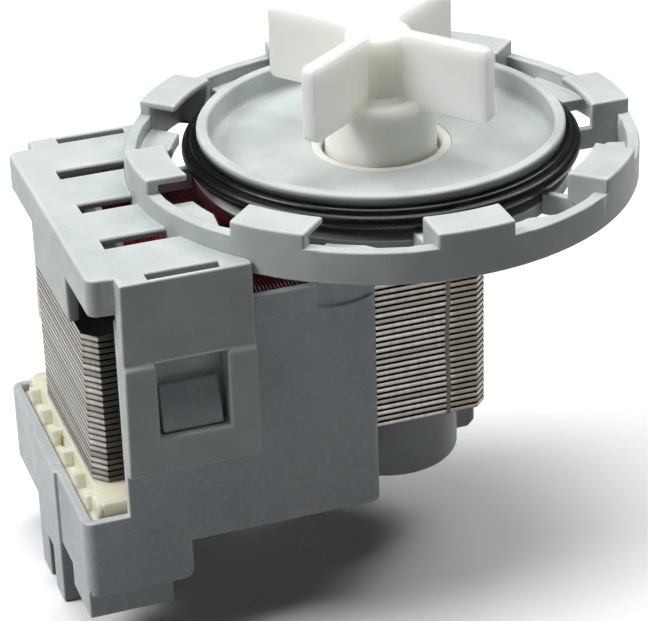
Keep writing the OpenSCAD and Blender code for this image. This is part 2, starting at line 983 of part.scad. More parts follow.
// Ring of corners round point i, stretched across each bend so that the wire keeps its width
function wire_ring(path, i) =
    let (last = len(path) - 1,
         ahead = unit(path[min(i + 1, last)] - path[min(i, last - 1)]),
         behind = unit(path[max(i, 1)] - path[max(i - 1, 0)]),
         t = path_step(path, i),
         side = unit(abs(t[0]) > 0.5 ? cross(t, [0, 0, -1]) : cross(t, [1, 0, 0])),
         up = cross(side, t),
         bend = 1 / max(0.7, sqrt((1 + ahead * behind) / 2)),
         fold = ahead - behind,
         fold_len = norm(fold))
    [for (s = [0 : tube_sides - 1])
        let (a = 360 * s / tube_sides,
             q = wire_d / 2 * (cos(a) * side + sin(a) * up),
             f = fold_len < 0.001 ? [0, 0, 0] : fold / fold_len)
        path[i] + q + (bend - 1) * (q * f) * f];

module wire(path) {
    n = tube_sides;
    last = len(path) - 1;
    points = [for (i = [0 : last]) each wire_ring(path, i)];
    sides = [for (i = [0 : last - 1], s = [0 : n - 1])
        let (a = i * n + s,
             b = i * n + (s + 1) % n)
        each [[a, b, b + n], [a, b + n, a + n]]];
    caps = [for (s = [1 : n - 2])
        each [[0, s + 1, s], [last * n, last * n + s, last * n + s + 1]]];
    polyhedron(points = points, faces = concat(sides, caps));
}

// Least gap of the wire to its own next turns, measured on the path's points
turn_gap = min([for (i = [0 : len(turn_path) - 1],
                     j = [i + rings_per_turn / 2 : min(i + 2 * rings_per_turn, len(turn_path) - 1)])
    norm(turn_path[i] - turn_path[j])]) - wire_d;
echo(least_gap_between_turns = turn_gap);

module coil() {
    along_x([wind_x0 + seat_gap, wind_x1 - seat_gap])
        difference() {
            round_rect([wind_in - core_layer, wind_bottom - core_layer],
                       [wind_out + core_layer, wind_top + core_layer], coil_corner);
            translate([wind_in - seat_gap, wind_bottom - seat_gap])
                square([wind_out - wind_in + 2 * seat_gap, wind_top - wind_bottom + 2 * seat_gap]);
        }
    wire(turn_path);
}

module coil_back() {
    color(enamel)
        coil();
}

module coil_front() {
    color(enamel)
        mirror([0, 1, 0])
            coil();
}

// Coil housing with its tray, connector shroud and latch hooks

module house_profile() {
    polygon([
        [tray_x0, tray_top],
        [house_x0, tray_top],
        [house_x0, house_top],
        [house_x1, house_top],
        [house_x1, house_bottom],
        [deep_x1, house_bottom],
        [deep_x1, deep_bottom + deep_corner],
        [deep_x1 - deep_corner, deep_bottom + deep_corner],
        [deep_x1 - deep_corner, deep_bottom],
        [tray_x0, deep_bottom]
    ]);
    translate([deep_x1 - deep_corner, deep_bottom + deep_corner])
        circle(r = deep_corner);
}

module wall_scoop() {
    along_y([-house_y - past, scoop_depth - house_y])
        intersection() {
            translate([house_x1 - scoop_mid, house_top - scoop_drop + scoop_r])
                circle(r = scoop_r);
            translate([house_x1 - scoop_l, house_top - scoop_r])
                square([scoop_l + past, scoop_r + past]);
        }
}

module house_cavity() {
    block([house_x0 - past, house_x1 - house_wall], [-house_in, house_in],
          [house_floor, house_top + past]);
    block([tray_x0 + house_wall, deep_x1 - house_wall], [-house_in, house_in],
          [deep_floor, tray_top + past]);
    block([house_x1 - 2 * house_wall, house_x1 + past],
          [-core_w / 2 - core_fit, core_w / 2 + core_fit],
          [core_bottom - core_fit, house_top + past]);
    disc(bore_r + core_fit, [deep_bottom - past, house_top + past]);
}

module latch_hook() {
    along_x([window_x0 + hook_side, window_x1 - hook_side])
        polygon([
            [past - house_y, window_z0 + hook_fit],
            [-hook_tip, window_z0 + hook_fit],
            [-hook_tip, window_z0 + hook_fit + hook_land],
            [-hook_face, window_z0 + hook_h - hook_slope],
            [-house_y, window_z0 + hook_h],
            [past - house_y, window_z0 + hook_h]
        ]);
}

module foot() {
    block([tray_x0, foot_x1], [foot_back - house_y, foot_back - house_y + house_wall],
          [deep_bottom - foot_h, deep_bottom + past]);
    block([tray_x0, tray_x0 + house_wall], [foot_back - house_y, foot_y1],
          [deep_bottom - foot_h, deep_bottom + past]);
    block([foot_x1 - house_wall, foot_x1], [foot_back - house_y, foot_y1],
          [deep_bottom - foot_h, deep_bottom + past]);
}

module connector_shroud() {
    half = shroud_w / 2;
    difference() {
        block([shroud_x0, shroud_x1], [-half, half], [shroud_bottom, deep_bottom + past]);
        block([shroud_x0 + shroud_wall, shroud_x1 - shroud_wall],
              [shroud_wall - half, half - shroud_wall], [shroud_bottom - past, shroud_roof]);
        block([shroud_x0 - past, shroud_x0 + 2 * shroud_wall], [-shroud_slot / 2, shroud_slot / 2],
              [shroud_bottom - past, shroud_roof - slot_stop]);
    }
    block([shroud_x0, tray_x0 + past], [-half, half], [deep_bottom, tray_top]);
}

module comb_rests() {
    both_sides()
        block([tray_x0 + house_wall / 2, comb_x1],
              [(house_in - rest_t) / 2, (house_in + rest_t) / 2],
              [deep_floor - house_wall / 2, comb_bottom - seat_gap]);
}

module tab_slots() {
    for (y = [-tab_y, tab_y])
        block([tab_x - tab_w / 2 - seat_gap, tab_x + tab_w / 2 + seat_gap],
              [y - tab_t / 2 - seat_gap, y + tab_t / 2 + seat_gap],
              [shroud_roof - past, deep_floor + past]);
}

module coil_housing() {
    color(grey)
        difference() {
            union() {
                difference() {
                    intersection() {
                        along_y([-house_y, house_y])
                            house_profile();
                        translate([0, 0, deep_bottom - past])
                            linear_extrude(house_top - deep_bottom + 2 * past)
                                round_rect([tray_x0, -house_y], [house_x1, house_y], house_corner);
                    }
                    house_cavity();
                    both_sides()
                        wall_scoop();
                }
                both_sides()
                    latch_hook();
                foot();
                connector_shroud();
                comb_rests();
            }
            tab_slots();
        }
}

// Raised rim of the comb, which the yoke rests on
module core_seat() {
    in_x = comb_x0 + comb_strip + comb_ledge;
    in_y = core_w / 2 - comb_ledge;
    difference() {
        block([comb_x0 + comb_strip, comb_x1], [-comb_y, comb_y], [comb_bottom, comb_seat]);
        block([in_x, comb_x1 + past], [-in_y, in_y], [comb_top, comb_seat + past]);
    }
}

module wire_comb() {
    bar_y = comb_y - comb_bar_r;
    bar_z = comb_top + comb_bar_rise;
    color(cream)
        difference() {
            union() {
                block([comb_x0, comb_x1], [-comb_y, comb_y], [comb_bottom, comb_top]);
                core_seat();
                for (i = [0 : comb_fins - 1])
                    translate([0, (i - (comb_fins - 1) / 2) * comb_fin_pitch, 0])
                        block([comb_x0, comb_x0 + comb_strip], [-comb_fin_t / 2, comb_fin_t / 2],
                              [comb_bottom, comb_fin_top]);
                for (y = [-bar_y, bar_y])
                    translate([comb_x0 + comb_strip / 2, y, bar_z])
                        rotate([0, 90, 0])
                            cylinder(r = comb_bar_r, h = house_x0 - comb_x0);
            }
            for (y = [-tab_y, tab_y])
                block([tab_x - pin_w / 2 - seat_gap, tab_x + pin_w / 2 + seat_gap],
                      [y - tab_t / 2 - seat_gap, y + tab_t / 2 + seat_gap],
                      [comb_bottom - past, comb_top + pin_rise + seat_gap]);
        }
}

module terminal(y) {
    tip = tab_point;
    pin_top = comb_top + pin_rise;
    color("#b9a15c")
        difference() {
            along_y([y - tab_t / 2, y + tab_t / 2])
                polygon([
                    [tab_x - tab_w / 2, tab_tip + tip],
                    [tab_x - tab_w / 2 + tip, tab_tip],
                    [tab_x + tab_w / 2 - tip, tab_tip],
                    [tab_x + tab_w / 2, tab_tip + tip],
                    [tab_x + tab_w / 2, tab_shoulder],
                    [tab_x + pin_w / 2, tab_shoulder],
                    [tab_x + pin_w / 2, pin_top],
                    [tab_x - pin_w / 2, pin_top],
                    [tab_x - pin_w / 2, tab_shoulder],
                    [tab_x - tab_w / 2, tab_shoulder]
                ]);
            translate([tab_x, y, tab_tip + tab_hole_up])
                rotate([90, 0, 0])
                    cylinder(r = tab_hole_r, h = 2 * tab_t, center = true);
        }
}

module terminal_front() {
    terminal(-tab_y);
}

module terminal_back() {
    terminal(tab_y);
}

// Bearings and seals

module bearing_carrier() {
    groove_in = carrier_wall_r - carrier_bead;
    color(ivory)
        rotate_extrude()
            polygon([
                [lip_r + press_gap, recess_z],
                [recess_r, recess_z],
                [recess_r, dish_top - carrier_edge],
                [recess_r + carrier_edge, dish_top],
                [carrier_r, dish_top],
                [carrier_r, carrier_floor],
                [carrier_wall_r, carrier_floor],
                [carrier_wall_r, carrier_groove_z + carrier_bead + seat_gap],
                [groove_in, carrier_groove_z + carrier_bead + seat_gap],
                [groove_in, carrier_groove_z - carrier_bead - seat_gap],
                [carrier_wall_r, carrier_groove_z - carrier_bead - seat_gap],
                [carrier_wall_r, carrier_bottom],
                [groove_in - carrier_wall, carrier_bottom],
                [groove_in - carrier_wall, web_bottom],
                [carrier_hub_r, web_bottom],
                [carrier_hub_r, carrier_bottom],
                [bush_hole, carrier_bottom],
                [bush_hole, front_bush_top + press_gap],
                [shaft_r + shaft_room, front_bush_top + press_gap],
                [shaft_r + shaft_room, web_bottom],
                [lip_r + press_gap, web_bottom]
            ]);
}

module carrier_seal() {
    color(rubber)
        translate([0, 0, carrier_groove_z])
            rotate_extrude()
                translate([carrier_wall_r - carrier_bead / 2 + seat_gap / 2, 0])
                    circle(r = carrier_bead / 2);
}

module shaft_seal() {
    color(rubber)
        rotate_extrude()
            polygon([
                [shaft_r + shaft_fit, recess_z - lip_tip],
                [shaft_r + shaft_fit, recess_z - lip_tip - lip_land],
                [shaft_r + lip_room, recess_z - lip_neck],
                [shaft_r + lip_room, web_bottom + press_gap],
                [lip_r, web_bottom + press_gap],
                [lip_r, recess_z - lip_set],
                [shaft_r + lip_cone, recess_z - lip_set]
            ]);
}

module bush(z) {
    color("#6f6a62")
        tube(bush_r, shaft_r + shaft_fit, z);
}

module front_bush() {
    bush([front_bush_bottom, front_bush_top]);
}

module rear_bush() {
    bush([rear_bush_bottom, rear_bush_top]);
}

module rear_cushion() {
    color(rubber)
        rotate_extrude()
            polygon([
                [0, well_floor + seat_gap],
                [cushion_r, well_floor + seat_gap],
                [cushion_r, cushion_top],
                [bush_hole, cushion_top],
                [bush_hole, well_floor + cushion_floor + seat_gap],
                [0, well_floor + cushion_floor + seat_gap]
            ]);
}

// Rotor

module rotor_magnet() {
    color("#3a3a3c")
        tube(magnet_r, magnet_hole, [magnet_bottom, magnet_top]);
}

module magnet_carrier() {
    hub = magnet_hole - press_gap;
    color("#d8d4c8")
        rotate_extrude()
            polygon([
                [shaft_r + press_gap, hub_bottom],
                [washer_r, hub_bottom],
                [washer_r + hub_cone, magnet_bottom - end_disc],
                [end_disc_r, magnet_bottom - end_disc],
                [end_disc_r, magnet_bottom - press_gap],
                [hub, magnet_bottom - press_gap],
                [hub, magnet_top + press_gap],
                [end_disc_r, magnet_top + press_gap],
                [end_disc_r, magnet_top + end_disc],
                [washer_r, magnet_top + end_disc],
                [washer_r, hub_top],
                [shaft_r + press_gap, hub_top]
            ]);
}

module rotor_shaft() {
    chamfer = shaft_chamfer;
    color("#c9c9cc")
        rotate_extrude()
            polygon([
                [0, shaft_bottom],
                [shaft_r - chamfer, shaft_bottom],
                [shaft_r, shaft_bottom + chamfer],
                [shaft_r, shaft_top - chamfer],
                [shaft_r - chamfer, shaft_top],
                [0, shaft_top]
            ]);
}

module thrust_washer(z) {
    color("#d9c9a0")
        tube(washer_r, shaft_r + press_gap, z);
}

module thrust_washer_front() {
    thrust_washer([hub_top + press_gap, hub_top + washer_t]);
}

module thrust_washer_rear() {
    thrust_washer([hub_bottom - washer_t, hub_bottom - press_gap]);
}

module drive_dog() {
    color("#5c6064")
        difference() {
            union() {
                disc(dog_hub_r, [dog_bottom, dog_top]);
                sector([(shaft_r + dog_hub_r) / 2, dog_r], [dog_bottom, dog_top], 180, dog_angle);
            }
            disc(shaft_r + press_gap, [dog_bottom - past, dog_top + past]);
        }
}

// Impeller

module hub_profile() {
    polygon([
        [0, skirt_bottom_z],
        [skirt_r, skirt_bottom_z],
        [skirt_r, shoulder_z],
        [column_r + shoulder_foot, shoulder_top - shoulder_land],
        [column_r, shoulder_top],
        [column_r, column_top - column_round],
        [column_r - column_round, column_top],
        [0, column_top]
    ]);
    intersection() {
        translate([skirt_r - shoulder_r, shoulder_z])
            circle(r = shoulder_r);
        square([skirt_r, blade_top]);
    }
}

module blade() {
    rotate([90, 0, 0])
        linear_extrude(blade_t, center = true)
            round_rect([-blade_corner, blade_lift], [blade_r, blade_top], blade_corner);
}

module impeller() {
    color(ivory)
        difference() {
            union() {
                difference() {
                    union() {
                        rotate_extrude()
                            hub_profile();
                        for (i = [0 : 3])
                            rotate([0, 0, blade_turn + 90 * i])
                                blade();
                    }
                    disc(cavity_r, [skirt_bottom_z - past, cavity_top]);
                }
                sector([stop_r, cavity_r + skirt_wall / 2], [cap_top + press_gap, cavity_top + press_gap],
                       0, stop_angle);
            }
            disc(shaft_r + shaft_fit, [cavity_top - past, shaft_bore_top]);
        }
}

module impeller_cap() {
    color(ivory)
        tube(cavity_r - seat_gap, shaft_r + run_gap, [skirt_bottom_z, cap_top]);
}

module stop_bumpers() {
    turn = (stop_angle + bumper_angle) / 2 + bumper_turn;
    color(rubber)
        for (a = [-turn, turn])
            sector([stop_r + bumper_air, cavity_r - seat_gap],
                   [cap_top + seat_gap, cavity_top - seat_gap], a, bumper_angle);
}

bayonet_ring();
bayonet_lugs();
guide_teeth();
pump_dish();
rotor_well();
coil_plate();
spigot_seal();
core_sheets();
core_rivets();
bobbin_front();
bobbin_back();
coil_front();
coil_back();
coil_housing();
wire_comb();
terminal_front();
terminal_back();
bearing_carrier();
carrier_seal();
shaft_seal();
front_bush();
rear_bush();
rear_cushion();
rotor_magnet();
magnet_carrier();
rotor_shaft();
thrust_washer_front();
thrust_washer_rear();
drive_dog();
impeller();
impeller_cap();
stop_bumpers();
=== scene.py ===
# %% [markdown]
# # A washing machine drain pump
# The pump is a small motor with a four-bladed wheel. A grey cover carries everything: its ring of lugs
# turns into the machine's sump, and its dish closes the pump chamber. Behind it sit a stack of steel
# sheets, two coils and the grey housing that snaps over them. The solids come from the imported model.
# This lesson gives them soft edges, finishes, finer windings, a camera and light.

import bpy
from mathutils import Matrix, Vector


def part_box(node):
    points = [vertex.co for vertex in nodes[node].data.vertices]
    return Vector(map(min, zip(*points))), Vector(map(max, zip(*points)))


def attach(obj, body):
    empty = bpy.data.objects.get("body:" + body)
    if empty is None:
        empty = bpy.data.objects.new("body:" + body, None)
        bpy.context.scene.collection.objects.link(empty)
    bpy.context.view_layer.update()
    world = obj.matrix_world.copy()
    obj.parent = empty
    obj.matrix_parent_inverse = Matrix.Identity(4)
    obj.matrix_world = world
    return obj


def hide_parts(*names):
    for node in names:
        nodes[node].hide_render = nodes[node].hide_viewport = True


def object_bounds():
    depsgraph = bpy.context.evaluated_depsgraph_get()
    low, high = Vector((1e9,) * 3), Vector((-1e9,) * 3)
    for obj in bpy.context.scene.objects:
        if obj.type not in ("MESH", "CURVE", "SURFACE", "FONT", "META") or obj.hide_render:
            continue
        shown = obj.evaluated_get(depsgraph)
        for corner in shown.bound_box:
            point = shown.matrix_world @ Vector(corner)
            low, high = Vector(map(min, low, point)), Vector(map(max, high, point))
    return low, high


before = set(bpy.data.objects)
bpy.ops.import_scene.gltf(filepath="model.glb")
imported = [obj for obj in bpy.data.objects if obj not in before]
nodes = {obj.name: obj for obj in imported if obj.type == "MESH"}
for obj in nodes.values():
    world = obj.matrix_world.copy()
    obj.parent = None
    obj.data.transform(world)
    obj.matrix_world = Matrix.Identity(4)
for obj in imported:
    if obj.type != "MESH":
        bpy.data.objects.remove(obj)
cad_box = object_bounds()
print("nodes:", len(nodes))

# %% Modules for the rest of the lesson
import math

import bmesh
import bpy
from mathutils import Euler, Vector

MM = 0.001
scene = bpy.context.scene
scene.view_settings.view_transform = "Standard"
print("box in mm:", [[round(v / MM, 1) for v in corner] for corner in cad_box])

# %% [markdown]
# ## Camera
# The picture was taken from the front left, a little above the ring, with a long lens. Such a camera
# could be aimed by eye. Its place, its turn and its focal length were measured instead, from the round
# ring and the straight edges of the core, so that the render has the same perspective.

# %% Place the camera
SENSOR_MM, LENS_MM = 36, 145.74
CAMERA_PLACE = Vector((-127.47, -350.41, 164.83)) * MM
CAMERA_TURN = (62.098, 1.676, -19.385)
NEAREST_SEEN = 10 * MM

camera_data = bpy.data.cameras.new("picture_camera")
camera_data.sensor_width = SENSOR_MM
camera_data.lens = LENS_MM
camera_data.clip_start = NEAREST_SEEN
camera = bpy.data.objects.new("picture_camera", camera_data)
camera.location = CAMERA_PLACE
camera.rotation_euler = Euler([math.radians(angle) for angle in CAMERA_TURN])
scene.collection.objects.link(camera)
scene.camera = camera
print("camera is", round(camera.location.length / MM), "mm from the origin")

# %% [markdown]
# ## Node helpers
# Every finish below is a small graph of shader nodes. A helper keeps each graph short: it makes a node,
# sets its plain inputs and links the inputs that are given another node's output. A second one does the
# same for a sum, a product or a comparison.

# %% Make and link shader nodes
def add_node(tree, kind, inputs=None, **settings):
    node = tree.nodes.new(kind)
    for name, value in settings.items():
        setattr(node, name, value)
    for name, value in (inputs or {}).items():
        if isinstance(value, bpy.types.NodeSocket):
            tree.links.new(value, node.inputs[name])
        else:
            node.inputs[name].default_value = value
    return node


def math_of(tree, way, *values, **settings):
    inputs = dict(enumerate(values))
    return add_node(tree, "ShaderNodeMath", inputs, operation=way, **settings).outputs[0]


def new_finish(name):
    finish = bpy.data.materials.new(name)
    finish.use_nodes = True
    finish.node_tree.nodes.clear()
    return finish, finish.node_tree


print("node helpers ready")

# %% Colours as a picture program gives them
WHITE, BLACK = (1.0, 1.0, 1.0, 1.0), (0.0, 0.0, 0.0, 1.0)


def srgb(red, green, blue):
    channels = [c / 255 for c in (red, green, blue)]
    linear = [c / 12.92 if c <= 0.04045 else ((c + 0.055) / 1.055) ** 2.4 for c in channels]
    return (*linear, 1.0)


print("mid grey as the shader reads it:", [round(c, 3) for c in srgb(128, 128, 128)])

# %% [markdown]
# ## Floor
# The pump stands on a plain white sheet. A white floor throws much light back at the object, which would
# flatten its dark front. So the camera and reflections see the floor white, while the light that bounces
# from it meets a greyer floor.

# %% Build the floor
FLOOR_GAP = 0.1 * MM
FLOOR_REACH = 6.0
floor_level = cad_box[0][2] - FLOOR_GAP
corners = [(x * FLOOR_REACH, y * FLOOR_REACH, floor_level)
           for x, y in ((-1, -1), (1, -1), (1, 1), (-1, 1))]
floor_mesh = bpy.data.meshes.new("floor")
floor_mesh.from_pydata(corners, [], [(0, 1, 2, 3)])
floor = bpy.data.objects.new("floor", floor_mesh)
scene.collection.objects.link(floor)
print("floor at", round(floor_level / MM, 1), "mm")

# %% Colour the floor
BOUNCE_GREY = srgb(112, 112, 114)
floor_finish, tree = new_finish("white_sheet")
ray = add_node(tree, "ShaderNodeLightPath").outputs
seen = math_of(tree, "MAXIMUM", ray["Is Camera Ray"], ray["Is Glossy Ray"])
seen = math_of(tree, "MAXIMUM", seen, ray["Is Transmission Ray"])
bounce = add_node(tree, "ShaderNodeBsdfDiffuse", {"Color": BOUNCE_GREY})
white = add_node(tree, "ShaderNodeBsdfDiffuse", {"Color": WHITE})
either = add_node(tree, "ShaderNodeMixShader", {0: seen, 1: bounce.outputs[0], 2: white.outputs[0]})
add_node(tree, "ShaderNodeOutputMaterial", {"Surface": either.outputs[0]})
floor_mesh.materials.append(floor_finish)
print("floor finish:", floor_finish.name)

# %% [markdown]
# ## Light
# In the picture the tops and the left ends are pale, the front is in shade, and the soft shadow lies
# under the pump and to its right. So a wide lamp hangs above, a smaller one stands high on the left and
# a weaker one high on the right. All three are a little behind the pump, which keeps its front dark. A
# studio would use large soft boxes, and these disks do the same. The sky adds a little light from
# everywhere, and the camera sees it white.

# %% Hang the lamps
LAMP_TARGET = Vector((-0.01, 0.0, -0.03))


def soft_lamp(name, place, watts, size):
    data = bpy.data.lights.new(name, "AREA")
    data.shape = "DISK"
    data.size = size
    data.energy = watts
    lamp = bpy.data.objects.new(name, data)
    lamp.location = place
    aim = LAMP_TARGET - Vector(place)
    lamp.rotation_euler = aim.to_track_quat("-Z", "Y").to_euler()
    scene.collection.objects.link(lamp)
    return lamp


lamps = [
    soft_lamp("top_lamp", (0.05, 0.14, 1.20), watts=12.0, size=0.9),
    soft_lamp("left_lamp", (-0.92, 0.14, 0.88), watts=12.5, size=0.65),
    soft_lamp("right_lamp", (0.80, 0.30, 0.95), watts=6.0, size=0.6),
]
print("lamps:", [lamp.name for lamp in lamps])

# %% Set the sky
SKY_TINT, SKY_STRENGTH = (0.95, 0.97, 1.0, 1.0), 0.03
sky = bpy.data.worlds.new("studio")
sky.use_nodes = True
tree = sky.node_tree
tree.nodes.clear()
seen = add_node(tree, "ShaderNodeLightPath").outputs["Is Camera Ray"]
dim = add_node(tree, "ShaderNodeBackground", {"Color": SKY_TINT, "Strength": SKY_STRENGTH})
white = add_node(tree, "ShaderNodeBackground", {"Color": WHITE, "Strength": 1.0})
either = add_node(tree, "ShaderNodeMixShader", {0: seen, 1: dim.outputs[0], 2: white.outputs[0]})
add_node(tree, "ShaderNodeOutputWorld", {"Surface": either.outputs[0]})
scene.world = sky
print("sky:", sky.name)

# %% [markdown]
# ## Soft edges
# A mould or a stamping tool never leaves a knife edge, and the pale lines along the real edges come from
# their small radii. The solids have sharp edges. Modifiers round them without changing the solids: the
# split corners are welded, flat faces are merged, sharp edges are rounded, and the flat faces keep their
# own direction so that only the rounding shades smoothly.
#
# The cover is one moulding, but its ring, lugs, teeth, dish and plate are separate solids. Where two of
# them meet flush, a rounded edge would draw a groove. So a small node group marks which edges are sharp
# and are no such seam, and the rounding follows that mark. Pieces without a seam are welded once more,
# which clears the faces that the rounding has squeezed to nothing.

# %% Find the seams of the cover
RING_WALL = 2.0 * MM
ring_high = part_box("bayonet_ring")[1]
RING_TOP, RING_OUT = ring_high.z, ring_high.x
RING_IN = RING_OUT - RING_WALL
LEVEL_ROOM, RADIUS_ROOM = 0.02 * MM, 0.12 * MM
LUG_PITCH, LUG_HALF = math.radians(45), math.radians(10.5)


def seam_under_lugs(group, place, level):
    around = math_of(group, "ARCTAN2", place["Y"], place["X"])
    from_lug = math_of(group, "WRAP", around, -LUG_PITCH / 2, LUG_PITCH / 2)
    return math_of(group, "MULTIPLY", math_of(group, "COMPARE", place["Z"], level, LEVEL_ROOM),
                   math_of(group, "COMPARE", from_lug, 0.0, LUG_HALF))


def seam_at_radius(group, place, radius):
    flat = add_node(group, "ShaderNodeCombineXYZ", {"X": place["X"], "Y": place["Y"]})
    length = add_node(group, "ShaderNodeVectorMath", {0: flat.outputs[0]}, operation="LENGTH")
    return math_of(group, "COMPARE", length.outputs["Value"], radius, RADIUS_ROOM)


print("seams at, in mm:", [round(size / MM, 1) for size in (RING_TOP, RING_IN, RING_OUT)])

# %% Mark the edges to round
SHARP = math.radians(32)


def edge_marker(name, seam_of=None, size=None):
    group = bpy.data.node_groups.new(name, "GeometryNodeTree")
    for way in ("INPUT", "OUTPUT"):
        group.interface.new_socket("Geometry", in_out=way, socket_type="NodeSocketGeometry")
    shape = add_node(group, "NodeGroupInput").outputs[0]
    angle = add_node(group, "GeometryNodeInputMeshEdgeAngle").outputs
    sharp = math_of(group, "GREATER_THAN", angle["Unsigned Angle"], SHARP)
    mark = math_of(group, "GREATER_THAN", angle["Signed Angle"], SHARP)
    if seam_of:
        point = add_node(group, "GeometryNodeInputPosition").outputs[0]
        place = add_node(group, "ShaderNodeSeparateXYZ", {0: point}).outputs
        mark = math_of(group, "SUBTRACT", mark, seam_of(group, place, size), use_clamp=True)
    store = add_node(group, "GeometryNodeStoreNamedAttribute",
                     {"Geometry": shape, "Name": "bevel_weight_edge", "Value": mark},
                     data_type="FLOAT", domain="EDGE")
    left = math_of(group, "SUBTRACT", sharp, mark, use_clamp=True)
    crease = add_node(group, "GeometryNodeSetShadeSmooth",
                      {"Geometry": store.outputs[0], "Selection": left, "Shade Smooth": False},
                      domain="EDGE")
    add_node(group, "NodeGroupOutput", {0: crease.outputs[0]})
    return group


print("edges count as sharp from", round(math.degrees(SHARP)), "degrees")

# %% One marker for each kind of seam
plain_edges = edge_marker("plain_edges")
under_lugs = edge_marker("under_lugs", seam_under_lugs, RING_TOP)
inside_ring = edge_marker("inside_ring", seam_at_radius, RING_IN)
outside_ring = edge_marker("outside_ring", seam_at_radius, RING_OUT)
print("edge markers:", len(bpy.data.node_groups))

# %% Round the edges of one solid
WELD, SLIVER = 0.002 * MM, 0.02 * MM
FLAT = math.radians(0.4)


def soften(name, radius, marker):
    part = nodes[name]
    part.data.polygons.foreach_set("use_smooth", [True] * len(part.data.polygons))
    part.modifiers.new("weld", "WELD").merge_threshold = WELD
    flat = part.modifiers.new("merge_flat", "DECIMATE")
    flat.decimate_type = "DISSOLVE"
    flat.angle_limit = FLAT
    part.modifiers.new("close_slivers", "WELD").merge_threshold = SLIVER
    part.modifiers.new("mark", "NODES").node_group = marker
    if radius:
        edge = part.modifiers.new("edge", "BEVEL")
        edge.width = radius
        edge.segments = 2
        edge.limit_method = "WEIGHT"
        edge.use_clamp_overlap = False
        edge.loop_slide = False
        if marker == plain_edges:
            part.modifiers.new("close_rounding", "WELD").merge_threshold = WELD
    part.modifiers.new("shade", "WEIGHTED_NORMAL").keep_sharp = True


print("rounding ready")

# %% Round all the pieces, with radii in millimetres
COVER_RADIUS = {"bayonet_ring": 0.35, "bayonet_lugs": 0.4, "guide_teeth": 0.3, "pump_dish": 0,
                "rotor_well": 0, "coil_plate": 0.4}
OTHER_RADIUS = {"coil_housing": 0.3, "impeller": 0.35, "core_sheets": 0.22, "core_rivets": 0.2,
                "bearing_carrier": 0.15, "wire_comb": 0.3, "terminal_front": 0.1, "terminal_back": 0.1,
                "bobbin_front": 0.2, "bobbin_back": 0.2, "drive_dog": 0.2}
MARKERS = {"bayonet_ring": under_lugs, "bayonet_lugs": under_lugs, "guide_teeth": inside_ring,
           "coil_plate": outside_ring}
radii = {**COVER_RADIUS, **OTHER_RADIUS}
for name, radius in radii.items():
    soften(name, radius * MM, MARKERS.get(name, plain_edges))
print("edges softened on", len(radii), "pieces")

# %% [markdown]
# ## Grain and mottle
# No moulded or rolled surface is one even colour. Under a lens it has clouds, specks and a fine grain,
# and the gloss changes with them. Photographs of surfaces could be wrapped round the pieces, but noise
# that is measured in millimetres of the object needs no unwrapping and has the right scale on every
# piece.
#
# Raw noise lies near the middle of its range. The helper "spread" stretches it: a value at "start"
# becomes "low", one at "end" becomes "high", and what lies outside is held at the nearer of the two.

# %% Noise measured in millimetres
def place_of(tree):
    return add_node(tree, "ShaderNodeTexCoord").outputs["Object"]


def along(tree, axis):
    return add_node(tree, "ShaderNodeSeparateXYZ", {0: place_of(tree)}).outputs[axis]


def grain(tree, spots_per_mm, detail=3.0, stretch=(1.0, 1.0, 1.0)):
    scale = [s * spots_per_mm / MM for s in stretch]
    point = add_node(tree, "ShaderNodeMapping", {"Vector": place_of(tree), "Scale": scale})
    noise = add_node(tree, "ShaderNodeTexNoise",
                     {"Vector": point.outputs[0], "Scale": 1.0, "Detail": detail})
    return noise.outputs["Fac"]


print("noise ready")

# %% Turn noise into colour
# Places of the colour sockets on a mix node.
MIX_FACTOR, MIX_FIRST, MIX_SECOND, MIX_RESULT = 0, 6, 7, 2


def spread(tree, value, low, high, start=0.32, end=0.68):
    inputs = {"Value": value, "From Min": start, "From Max": end, "To Min": low, "To Max": high}
    return add_node(tree, "ShaderNodeMapRange", inputs).outputs["Result"]


def mix_colour(tree, factor, first, second):
    inputs = {MIX_FACTOR: factor, MIX_FIRST: first, MIX_SECOND: second}
    return add_node(tree, "ShaderNodeMix", inputs, data_type="RGBA").outputs[MIX_RESULT]


print("colour helpers ready")

# %% Turn noise into bumps, and put a finish on a piece
def bumps(tree, height, depth_mm, strength):
    inputs = {"Height": height, "Distance": depth_mm * MM, "Strength": strength}
    return add_node(tree, "ShaderNodeBump", inputs).outputs[0]


def show_surface(tree, inputs):
    shader = add_node(tree, "ShaderNodeBsdfPrincipled", inputs, name="surface")
    add_node(tree, "ShaderNodeOutputMaterial", {"Surface": shader.outputs[0]})


def dress(finish, *names):
    for name in names:
        materials = nodes[name].data.materials
        materials.clear()
        materials.append(finish)


print("surface helpers ready")

# %% [markdown]
# ## Moulded plastic
# The cover and the housing are grey plastic from a spark-eroded mould, so they have a fine matt grain
# with faint clouds where the plastic flowed. The wheel, the comb and the bobbins are paler plastics that
# let some light in. One recipe makes them all: two near colours mixed by clouds, fine specks, a grain in
# the bump and a roughness of its own clouds.
#
# The edges of a grey moulding are painted paler, a painted highlight along the rounded edges. It could be
# painted on piece by piece. Here the shader looks inwards from each point: where the plastic behind it is
# thin, as it is at an edge, the colour turns paler. The seam under the lugs is left out, because the real
# cover has none.

# %% Clouds, specks and painted edge highlight
CLOUDS_PER_MM, SPECKS_PER_MM = 0.11, 2.6
EDGE_HIGHLIGHT_GREY = srgb(236, 239, 238)
EDGE_HIGHLIGHT_DEPTH, SEAM_ROOM = 0.7 * MM, 0.8 * MM


